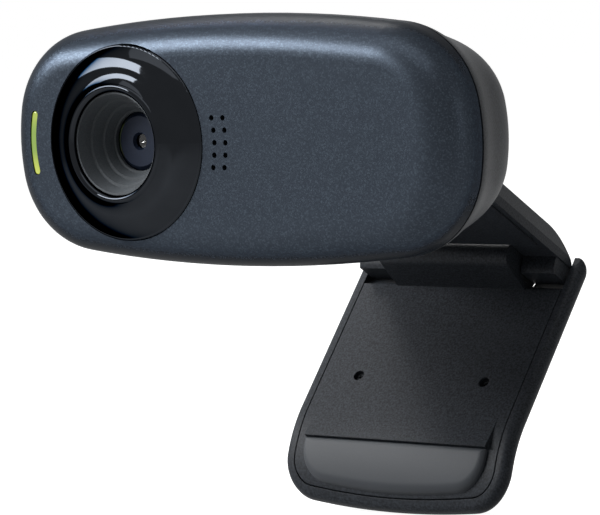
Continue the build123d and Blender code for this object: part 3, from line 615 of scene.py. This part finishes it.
def ring_mesh(name, rings, place, cap_steps=10):
    """A closed mesh from a stack of outlines of (across, along, level), capped at both ends."""
    count = len(rings[0])
    stack = []
    for ring, order in ((rings[0], range(cap_steps - 1, 0, -1)), (rings[-1], range(1, cap_steps))):
        middle = [sum(point[k] for point in ring) / count for k in (0, 1)]
        caps = []
        for step in order:
            share = 1 - step / cap_steps
            caps.append(
                [
                    (
                        middle[0] + (u - middle[0]) * share,
                        middle[1] + (v - middle[1]) * share,
                        level,
                    )
                    for u, v, level in ring
                ]
            )
        stack.append((caps, (middle[0], middle[1], ring[0][2])))
    levels = stack[0][0] + rings + stack[1][0]
    points = [place(*point) for ring in levels for point in ring]
    faces = []
    for row in range(len(levels) - 1):
        for k in range(count):
            n = (k + 1) % count
            here, there = row * count, (row + 1) * count
            faces.append((here + k, here + n, there + n, there + k))
    for row, centre in ((0, stack[0][1]), (len(levels) - 1, stack[1][1])):
        points.append(place(*centre))
        for k in range(count):
            faces.append((row * count + k, row * count + (k + 1) % count, len(points) - 1))
    mesh = bpy.data.meshes.new(name)
    mesh.from_pydata(points, [], faces)
    return mesh


def paint_nodes(material, *names):
    """Gives CAD nodes a finish."""
    for name in names:
        mesh = nodes[name].data
        mesh.materials.clear()
        mesh.materials.append(material)


class WEBCAM_OT_shells(bpy.types.Operator):
    """Finishes the moulded covers, the arm and the foot"""

    bl_idname = "webcam.shells"
    bl_label = "Covers and clip"

    def execute(self, context):
        colours = context.scene.webcam_colours
        paint_nodes(slate_metallic_lacquer(colours), "front_cover")
        paint_nodes(
            spark_grained_abs(colours),
            "rear_cover", "arm_shell", "arm_panel", "leg_shell", "leg_panel",
        )
        return {"FINISHED"}


class WEBCAM_OT_lens(bpy.types.Operator):
    """Finishes the lens ring, its hood, the barrel and the glasses"""

    bl_idname = "webcam.lens"
    bl_label = "Lens"

    def execute(self, context):
        paint_nodes(gloss_black_acrylic(), "lens_bezel")
        paint_nodes(matt_black_moulding("hood_nylon", "#33363a", "#4a4e51", 0.2, 0.6), "lens_hood")
        paint_nodes(
            matt_black_moulding("barrel_nylon", "#0f1522", "#1a2231", 0.3, 0.42),
            "lens_barrel", "lens_holder",
        )
        paint_nodes(coated_lens_glass(), "front_lens", "rear_lens", "infrared_filter")
        return {"FINISHED"}


class WEBCAM_OT_inside(bpy.types.Operator):
    """Finishes the electronics, pins and washers"""

    bl_idname = "webcam.inside"
    bl_label = "Inside parts"

    def execute(self, context):
        paint_nodes(green_board_laminate(), "main_board")
        paint_nodes(
            matt_black_moulding("chip_epoxy", "#141516", "#1e2021", 0.1, 0.5),
            "board_chips", "cable_header", "status_led", "image_sensor",
        )
        paint_nodes(worked_metal("mic_can_tin", "#9aa0a3", "#b9bdbf", 0.4, 0.35), "microphone")
        paint_nodes(
            worked_metal("pin_steel", "#43474b", "#676c70", 0.3, 0.34), "tilt_pin", "fold_pin"
        )
        paint_nodes(
            worked_metal("blackened_screws", "#2b2d2f", "#47494b", 0.2, 0.38), "board_screws"
        )
        paint_nodes(
            matt_black_moulding("washer_nylon", "#121314", "#1d1f20", 0.3, 0.5),
            "tilt_washers", "fold_washers",
        )
        return {"FINISHED"}


# Foot pad, measured from the fold axis: levels above the foot's face and places down the leg
leg_face_drop = 0.96 * MM
leg_bend_start = 23.5 * MM
leg_bend_radius = 18.6 * MM
pad_top = 28.55 * MM
pad_bottom = 34.6 * MM
pad_bow = 1.1 * MM
pad_corner = 4.4 * MM
pad_wall = 0.35 * MM
pad_side_steps = 6
pad_corner_steps = 14
pad_edge_steps = 40
pad_bevel_steps = 8


def on_leg(across, down, level):
    """Place on the foot, at a level above its bent face."""
    reach = leg_bend_radius + level
    past = max(0.0, down - leg_bend_start)
    forward = sqrt(reach**2 - past**2) - leg_bend_radius - leg_face_drop
    return fold_centre + ACROSS * across + leg_front * forward + leg_down * down


def pad_outline(half_width, inset, level):
    """Plan of the pad drawn in by an inset: straight top and sides, bowed bottom, round corners."""
    bow_radius = (half_width**2 + pad_bow**2) / (2 * pad_bow)
    bow_centre = pad_bottom - bow_radius
    corner_x = half_width - pad_corner
    corner_y = bow_centre + sqrt((bow_radius - pad_corner) ** 2 - corner_x**2)
    turn = atan2(corner_y - bow_centre, corner_x)
    side = half_width - inset
    top = pad_top + inset
    right = [(side, top + (corner_y - top) * k / pad_side_steps) for k in range(pad_side_steps)]
    for k in range(pad_corner_steps):
        angle = turn * k / pad_corner_steps
        reach = pad_corner - inset
        right.append((corner_x + reach * cos(angle), corner_y + reach * sin(angle)))
    bottom = []
    for k in range(pad_edge_steps + 1):
        angle = turn + (pi - 2 * turn) * k / pad_edge_steps
        reach = bow_radius - inset
        bottom.append((reach * cos(angle), bow_centre + reach * sin(angle)))
    left = [(-x, y) for x, y in reversed(right)]
    upper = [(-side + 2 * side * k / pad_edge_steps, top) for k in range(1, pad_edge_steps)]
    return [(x, y, level) for x, y in right + bottom + left + upper]


class WEBCAM_OT_pad(bpy.types.Operator):
    """Makes the rubber pad of the foot"""

    bl_idname = "webcam.pad"
    bl_label = "Foot pad"

    def execute(self, context):
        sizes = context.scene.webcam_sizes
        rubber = grip_rubber("pad_silicone_rubber", context.scene.webcam_colours.pad, 0.22)
        rise = sizes.pad_thickness - pad_wall
        rings = [pad_outline(sizes.pad_half_width, 0.0, 0.0)]
        for step in range(pad_bevel_steps + 1):
            angle = pi / 2 * step / pad_bevel_steps
            inset = sizes.pad_bevel * (1 - cos(angle))
            rings.append(pad_outline(sizes.pad_half_width, inset, pad_wall + rise * sin(angle)))
        piece = finish_mesh("foot_pad", ring_mesh("foot_pad", rings, on_leg), rubber)
        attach(piece, "leg")
        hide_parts("leg_pad")
        return {"FINISHED"}


# Status light: a bar on an arc round the lens, read from its CAD node's box
bar_low, bar_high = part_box("light_pipe")
bar_recess = 0.12 * MM
bar_dome = 0.12 * MM
bar_shoulder = 0.5
bar_cap_steps = 12
bar_side_steps = 24
bar_dome_steps = 6


class WEBCAM_OT_light(bpy.types.Operator):
    """Makes the lit bar of the status light"""

    bl_idname = "webcam.light"
    bl_label = "Status light"

    def execute(self, context):
        half = context.scene.webcam_sizes.bar_width / 2
        radius = lens_centre.x - bar_low.x - half
        reach = (bar_high.z - bar_low.z) / 2 - half
        turn = reach / radius
        front = bar_low.y + bar_recess

        def on_arc(across, along, level):
            angle = along / radius
            out = radius + across
            return Vector(
                (lens_centre.x - out * cos(angle), level, lens_centre.z + out * sin(angle))
            )

        def outline(inset, level):
            ring = []
            for end in (1, -1):
                for k in range(bar_cap_steps + 1):
                    angle = pi * k / bar_cap_steps
                    along = end * (radius * turn + (half - inset) * sin(angle))
                    ring.append((end * (half - inset) * cos(angle), along, level))
                for k in range(1, bar_side_steps):
                    along = end * radius * turn * (1 - 2 * k / bar_side_steps)
                    ring.append((-end * (half - inset), along, level))
            return ring

        rings = [outline(0.0, bar_high.y)]
        for step in range(bar_dome_steps + 1):
            angle = pi / 2 * step / bar_dome_steps
            inset = half * bar_shoulder * (1 - cos(angle))
            rings.append(outline(inset, front + bar_dome * (1 - sin(angle))))
        glow = lit_light_guide(context.scene.webcam_colours, bar_low.z, bar_high.z)
        piece = finish_mesh("light_bar", ring_mesh("light_bar", rings, on_arc, cap_steps=4), glow)
        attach(piece, "head")
        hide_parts("light_pipe")
        return {"FINISHED"}


# Cord gland, with rings cut in its face at shares of its width, and microphone boot
gland_lip = 0.8 * MM
gland_flange = 1.0 * MM
gland_edge = 0.3 * MM
gland_edge_steps = 6
gland_ring_half = 0.11 * MM
gland_ring_shares = (0.72, 0.46, 0.2)
boot_wall = 0.77 * MM
boot_lip = 0.12 * MM
boot_lips = 4
boot_lip_start = 0.2
boot_segments = 64


class WEBCAM_OT_rubbers(bpy.types.Operator):
    """Makes the cord gland and the microphone's boot"""

    bl_idname = "webcam.rubbers"
    bl_label = "Gland and boot"

    def execute(self, context):
        rubber = grip_rubber("gland_soft_rubber", srgb("#1a1c1e"), 0.3)
        groove = context.scene.webcam_sizes.gland_groove
        low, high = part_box("cable_grommet")
        outer = (high.x - low.x) / 2
        length = high.y - low.y
        bore = mounts["cable_inlet"]["dims"]["r_mm"] * MM
        body = outer - gland_lip
        edge = gland_edge
        step_up = length - gland_flange
        profile = [(bore, 0.0), (body - edge, 0.0), (body, edge), (body, step_up)]
        profile += [(outer - edge / 2, step_up), (outer, step_up + edge / 2)]
        for step in range(gland_edge_steps + 1):
            angle = pi / 2 * step / gland_edge_steps
            profile.append((outer - edge + edge * cos(angle), length - edge + edge * sin(angle)))
        for share in gland_ring_shares:
            middle = bore + (outer - edge - bore) * share
            profile += [
                (middle + gland_ring_half, length),
                (middle + gland_ring_half / 2, length - groove),
                (middle - gland_ring_half / 2, length - groove),
                (middle - gland_ring_half, length),
            ]
        profile += [(bore + edge / 2, length), (bore, length - edge / 2)]
        origin = Vector((gland_centre.x, low.y, gland_centre.z))
        turned = lathe_mesh("cord_gland", profile, origin, BACKWARD)
        gland = finish_mesh("cord_gland", turned, rubber)
        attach(gland, "head")
        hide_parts("cable_grommet")

        low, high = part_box("microphone_boot")
        outer = (high.x - low.x) / 2
        length = high.y - low.y
        inner = outer - boot_wall
        waist = outer - boot_lip
        profile = [(inner, 0.0), (waist, 0.0)]
        for ring in range(boot_lips):
            base = length * (ring + boot_lip_start) / boot_lips
            profile += [(waist, base), (outer, base + boot_lip)]
            profile += [(outer, base + 2 * boot_lip), (waist, base + 3 * boot_lip)]
        profile += [(waist, length), (inner, length)]
        origin = Vector(((low.x + high.x) / 2, low.y, (low.z + high.z) / 2))
        turned = lathe_mesh("mic_boot", profile, origin, BACKWARD, boot_segments)
        boot = finish_mesh("mic_boot", turned, rubber)
        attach(boot, "head")
        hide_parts("microphone_boot")
        return {"FINISHED"}


# Screws: heads (radius, height, shank radius) and recesses (length, width, depth) in millimetres
cover_screw_head, cover_screw_recess = (1.6, 1.1, 0.75), (2.0, 0.45, 0.6)
arm_screw_head, arm_screw_recess = (1.1, 0.55, 0.5), (1.5, 0.25, 0.3)
leg_screw_head, leg_screw_recess = (0.75, 0.4, 0.4), (1.05, 0.22, 0.25)
arm_screw_length = 2.1 * MM
leg_screw_length = 1.3 * MM
# Places of the screws, from the middle of the arm and from the fold axis
arm_screw_side = 8.5 * MM
arm_screw_forward = 3.5 * MM
arm_screw_sink = 0.05 * MM
leg_screw_side = 10.4 * MM
leg_screw_down = 18.2 * MM
leg_screw_sink = 0.5 * MM
screw_segments = 48
head_round_steps = 5
recess_clear = 0.1 * MM
# Thread, tip and recess, in shares of the shank's radius, the pitch and the recess's reach
thread_pitch = 0.7
thread_root = 0.82
thread_flank = 0.3
screw_tip = 0.6
recess_taper = 0.55


def screw_tree():
    """Geometry nodes that set one screw on every point, each turned its own way."""
    tree = bpy.data.node_groups.new("screw_row", "GeometryNodeTree")
    for name, kind in (
        ("Seats", "NodeSocketGeometry"),
        ("Screw", "NodeSocketObject"),
        ("Axis", "NodeSocketVector"),
        ("Turn", "NodeSocketFloat"),
        ("Seed", "NodeSocketInt"),
        ("Finish", "NodeSocketMaterial"),
    ):
        tree.interface.new_socket(name, in_out="INPUT", socket_type=kind)
    tree.interface.new_socket("Screws", in_out="OUTPUT", socket_type="NodeSocketGeometry")
    given = add_node(tree, "NodeGroupInput").outputs
    screw = add_node(tree, "GeometryNodeObjectInfo", {"Object": given["Screw"]})
    points = add_node(tree, "GeometryNodeMeshToPoints", {"Mesh": given["Seats"]})
    aim = add_node(tree, "FunctionNodeAlignRotationToVector", {"Vector": given["Axis"]}, axis="Z")
    spin = add_node(
        tree,
        "FunctionNodeRandomValue",
        {RANDOM_MIN: 0.0, RANDOM_MAX: given["Turn"], "Seed": given["Seed"]},
        data_type="FLOAT",
    )
    twist = add_node(
        tree,
        "FunctionNodeAxisAngleToRotation",
        {"Axis": (0, 0, 1), "Angle": spin.outputs[RANDOM_OUT]},
    )
    turned = add_node(
        tree,
        "FunctionNodeRotateRotation",
        {"Rotation": aim.outputs[0], "Rotate By": twist.outputs[0]},
        rotation_space="LOCAL",
    )
    row = add_node(
        tree,
        "GeometryNodeInstanceOnPoints",
        {
            "Points": points.outputs[0],
            "Instance": screw.outputs["Geometry"],
            "Rotation": turned.outputs[0],
        },
    )
    real = add_node(tree, "GeometryNodeRealizeInstances", {"Geometry": row.outputs[0]})
    coat = add_node(
        tree, "GeometryNodeSetMaterial", {"Geometry": real.outputs[0], "Material": given["Finish"]}
    )
    add_node(tree, "NodeGroupOutput", {"Screws": coat.outputs[0]})
    return tree


def screw_mesh(name, radius, height, shank, length, slot, rounding):
    """A pan-head screw with its top at the origin, a cross recess and a thread pointing down."""
    profile = [(0.0, 0.0)]
    for step in range(head_round_steps + 1):
        angle = pi / 2 * step / head_round_steps
        profile.append(
            (radius - rounding + rounding * sin(angle), -rounding + rounding * cos(angle))
        )
    profile += [(radius, -height), (shank, -height)]
    pitch = shank * thread_pitch
    root = shank * thread_root
    flank = pitch * thread_flank
    turns = max(1, int((length - height - pitch) / pitch))
    for turn in range(turns):
        base = -height - pitch * (turn + 0.5)
        profile += [(root, base + flank), (shank, base), (root, base - flank)]
    profile += [(shank * screw_tip, -length), (0.0, -length)]
    mesh = lathe_mesh(name, profile, Vector(), Vector((0, 0, 1)), screw_segments)
    shape = bmesh.new()
    shape.from_mesh(mesh)
    merge_and_face_out(shape)
    shape.to_mesh(mesh)
    shape.free()
    body = bpy.data.objects.new(name, mesh)
    bpy.context.scene.collection.objects.link(body)
    cutter = bpy.data.meshes.new(name + "_recess")
    tool = bmesh.new()
    slot_length, slot_width, slot_depth = slot
    half, thin = slot_length / 2, slot_width / 2
    corners = [(half, thin), (thin, thin), (thin, half)]
    corners += [(-thin, half), (-thin, thin), (-half, thin)]
    corners += [(-x, -y) for x, y in corners]
    top = [tool.verts.new((x, y, recess_clear)) for x, y in corners]
    deep = []
    for corner in corners:
        x, y = (size if abs(size) == thin else size * recess_taper for size in corner)
        deep.append(tool.verts.new((x, y, -slot_depth)))
    tool.faces.new(top)
    tool.faces.new(deep)
    for k in range(len(corners)):
        n = (k + 1) % len(corners)
        tool.faces.new((top[k], top[n], deep[n], deep[k]))
    bmesh.ops.recalc_face_normals(tool, faces=tool.faces)
    tool.to_mesh(cutter)
    tool.free()
    knife = bpy.data.objects.new(name + "_recess", cutter)
    bpy.context.scene.collection.objects.link(knife)
    cut = body.modifiers.new("recess", "BOOLEAN")
    cut.operation = "DIFFERENCE"
    cut.solver = "EXACT"
    cut.object = knife
    graph = bpy.context.evaluated_depsgraph_get()
    result = bpy.data.meshes.new_from_object(body.evaluated_get(graph))
    for scrap in (body, knife):
        bpy.data.objects.remove(scrap)
    return result


class WEBCAM_OT_screws(bpy.types.Operator):
    """Makes the screws of the covers, the arm and the foot"""

    bl_idname = "webcam.screws"
    bl_label = "Screws"

    def execute(self, context):
        rounding = context.scene.webcam_sizes.screw_rounding
        steel = worked_metal("blackened_screw_steel", "#161718", "#2a2c2e", 0.16, 0.4)
        tree = screw_tree()
        inputs = [item for item in tree.interface.items_tree if item.in_out == "INPUT"]
        sockets = {item.name: item.identifier for item in inputs}
        low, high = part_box("cover_screws")
        side = (high.x - low.x) / 2 - cover_screw_head[0] * MM
        rise = (high.z - low.z) / 2 - cover_screw_head[0] * MM
        middle = (low.z + high.z) / 2
        cover_seats = [(x, high.y, middle + z) for x in (-side, side) for z in (-rise, rise)]
        arm_seats = [
            ACROSS * x - arm_back * arm_screw_forward - arm_under * arm_screw_sink
            for x in (-arm_screw_side, arm_screw_side)
        ]
        leg_seats = [
            on_leg(x, leg_screw_down, -leg_screw_sink) for x in (-leg_screw_side, leg_screw_side)
        ]
        rows = (
            # piece, CAD node, body, seats, axis, length, head, recess, rounding of the head's rim
            (
                "cover_screw_row", "cover_screws", "head", cover_seats, BACKWARD,
                high.y - low.y, cover_screw_head, cover_screw_recess, rounding,
            ),
            (
                "arm_screw_row", "arm_screws", "arm", arm_seats, arm_under,
                arm_screw_length, arm_screw_head, arm_screw_recess, rounding / 3,
            ),
            (
                "foot_screw_row", "leg_screws", "leg", leg_seats, leg_front,
                leg_screw_length, leg_screw_head, leg_screw_recess, rounding / 3,
            ),
        )
        for seed, (name, node, body, seats, axis, length, head, slot, soft) in enumerate(rows):
            radius, height, shank = (size * MM for size in head)
            slot = tuple(size * MM for size in slot)
            screw = screw_mesh("single_screw", radius, height, shank, length, slot, soft)
            single = bpy.data.objects.new("single_screw", screw)
            places = bpy.data.meshes.new(name + "_seats")
            places.from_pydata([tuple(seat) for seat in seats], [], [])
            carrier = bpy.data.objects.new(name + "_carrier", places)
            bpy.context.scene.collection.objects.link(carrier)
            setting = carrier.modifiers.new("screws", "NODES")
            setting.node_group = tree
            setting[sockets["Screw"]] = single
            setting[sockets["Axis"]] = tuple(axis)
            setting[sockets["Turn"]] = pi / 2
            setting[sockets["Seed"]] = seed
            setting[sockets["Finish"]] = steel
            graph = bpy.context.evaluated_depsgraph_get()
            mesh = bpy.data.meshes.new_from_object(carrier.evaluated_get(graph))
            if not mesh.polygons:
                raise RuntimeError(name + " came out empty")
            bpy.data.objects.remove(carrier)
            bpy.data.objects.remove(single)
            piece = finish_mesh(name, mesh, steel)
            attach(piece, body)
            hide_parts(node)
        return {"FINISHED"}


# Studio: the camera's place and turn, the softboxes in metres, the floor and the sky

camera_place = Vector((248.32, -348.61, 30.48)) * MM
camera_yaw = radians(37.13)
camera_pitch = radians(5.04)
camera_roll = radians(-2.29)
camera_lens = 191.3
SOFTBOXES = (
    # name, place, width, height, radiance
    ("overhead_softbox", (0.0, -0.3, 0.52), 0.7, 0.28, 2.6),
    ("top_softbox", (-0.3, 0.14, 0.44), 0.3, 0.07, 38.0),
    ("left_softbox", (-0.3, -0.27, 0.2), 0.29, 0.12, 38.0),
    ("right_softbox", (0.62, 0.05, 0.06), 0.14, 0.4, 1.5),
)
floor_gap = 0.3 * MM
floor_half = 20.0
floor_glow = 0.95
sky_light = 0.16


def background_rays(tree):
    """One for the rays that show the background: straight, mirrored or through glass."""
    path = add_node(tree, "ShaderNodeLightPath").outputs
    seen = add_node(
        tree,
        "ShaderNodeMath",
        {0: path["Is Camera Ray"], 1: path["Is Glossy Ray"]},
        operation="MAXIMUM",
    )
    seen = add_node(
        tree,
        "ShaderNodeMath",
        {0: seen.outputs[0], 1: path["Is Transmission Ray"]},
        operation="MAXIMUM",
    )
    return seen.outputs[0]


class WEBCAM_OT_stage(bpy.types.Operator):
    """Makes the floor, the lights and the camera"""

    bl_idname = "webcam.stage"
    bl_label = "Studio"

    def execute(self, context):
        scene = context.scene
        scene.view_settings.view_transform = "Standard"
        ground = cad_box[0][2] - floor_gap
        corners = [(-1, -1), (1, -1), (1, 1), (-1, 1)]
        mesh = bpy.data.meshes.new("studio_floor")
        mesh.from_pydata(
            [(x * floor_half, y * floor_half, ground) for x, y in corners], [], [(0, 1, 2, 3)]
        )
        floor = bpy.data.objects.new("studio_floor", mesh)
        scene.collection.objects.link(floor)
        # Seamless paper: even and matt, lit up to white round the object's soft shadow
        paper, tree, shader, place = start_finish("seamless_paper")
        pulp = add_node(tree, "ShaderNodeTexNoise", {"Vector": place, "Scale": per_mm(40)})
        tone = add_node(
            tree,
            "ShaderNodeMix",
            {0: pulp.outputs[0], COLOUR_A: srgb("#959595"), COLOUR_B: srgb("#9b9b9b")},
            data_type="RGBA",
        )
        strength = add_node(
            tree, "ShaderNodeMath", {0: background_rays(tree), 1: floor_glow}, operation="MULTIPLY"
        )
        set_inputs(
            tree,
            shader,
            {
                "Base Color": tone.outputs[COLOUR_OUT],
                "Roughness": 0.95,
                "Specular IOR Level": 0.0,
                "Emission Color": (1.0, 1.0, 1.0, 1.0),
                "Emission Strength": strength.outputs[0],
            },
        )
        mesh.materials.append(paper)

        world = bpy.data.worlds.new("studio")
        world.use_nodes = True
        tree = world.node_tree
        tree.nodes.clear()
        strength = add_node(
            tree,
            "ShaderNodeMapRange",
            {"Value": background_rays(tree), "To Min": sky_light, "To Max": 1.0},
        )
        sky = add_node(
            tree,
            "ShaderNodeBackground",
            {"Color": (1.0, 1.0, 1.0, 1.0), "Strength": strength.outputs[0]},
        )
        add_node(tree, "ShaderNodeOutputWorld", {"Surface": sky.outputs[0]})
        scene.world = world

        for name, spot, width, height, radiance in SOFTBOXES:
            light = bpy.data.lights.new(name, "AREA")
            light.shape = "RECTANGLE"
            light.size = width
            light.size_y = height
            light.energy = radiance * pi * width * height
            lamp = bpy.data.objects.new(name, light)
            lamp.location = spot
            lamp.rotation_euler = (-Vector(spot)).to_track_quat("-Z", "Y").to_euler()
            scene.collection.objects.link(lamp)

        level = cos(camera_pitch)
        back = Vector((sin(camera_yaw) * level, -cos(camera_yaw) * level, sin(camera_pitch)))
        right = Vector((cos(camera_yaw), sin(camera_yaw), 0))
        up = back.cross(right)
        rolled_right = right * cos(camera_roll) + up * sin(camera_roll)
        rolled_up = up * cos(camera_roll) - right * sin(camera_roll)
        lens = bpy.data.cameras.new("photo_camera")
        lens.sensor_width = 36.0
        lens.sensor_fit = "HORIZONTAL"
        lens.lens = camera_lens
        lens.clip_start = 0.01
        lens.clip_end = 100.0
        camera = bpy.data.objects.new("photo_camera", lens)
        camera.matrix_world = Matrix.Translation(camera_place) @ (
            Matrix((rolled_right, rolled_up, back)).transposed().to_4x4()
        )
        scene.collection.objects.link(camera)
        scene.camera = camera
        return {"FINISHED"}


OPERATORS = (
    WEBCAM_OT_shells,
    WEBCAM_OT_lens,
    WEBCAM_OT_inside,
    WEBCAM_OT_pad,
    WEBCAM_OT_light,
    WEBCAM_OT_rubbers,
    WEBCAM_OT_screws,
    WEBCAM_OT_stage,
)


class WEBCAM_PT_panel(bpy.types.Panel):
    """Lists the webcam's sizes, colours and steps"""

    bl_idname = "WEBCAM_PT_panel"
    bl_label = "Webcam"
    bl_space_type = "VIEW_3D"
    bl_region_type = "UI"
    bl_category = "Webcam"

    def draw(self, context):
        for group in (context.scene.webcam_sizes, context.scene.webcam_colours):
            for name in group.__annotations__:
                self.layout.prop(group, name)
        for operator in OPERATORS:
            self.layout.operator(operator.bl_idname)


CLASSES = (WebcamSizes, WebcamColours, *OPERATORS, WEBCAM_PT_panel)


def register():
    for item in CLASSES:
        bpy.utils.register_class(item)
    bpy.types.Scene.webcam_sizes = PointerProperty(type=WebcamSizes)
    bpy.types.Scene.webcam_colours = PointerProperty(type=WebcamColours)


def unregister():
    del bpy.types.Scene.webcam_colours
    del bpy.types.Scene.webcam_sizes
    for item in reversed(CLASSES):
        bpy.utils.unregister_class(item)


def main():
    register()
    bpy.ops.webcam.shells()
    bpy.ops.webcam.lens()
    bpy.ops.webcam.inside()
    bpy.ops.webcam.pad()
    bpy.ops.webcam.light()
    bpy.ops.webcam.rubbers()
    bpy.ops.webcam.screws()
    bpy.ops.webcam.stage()


if __name__ == "__main__":
    main()
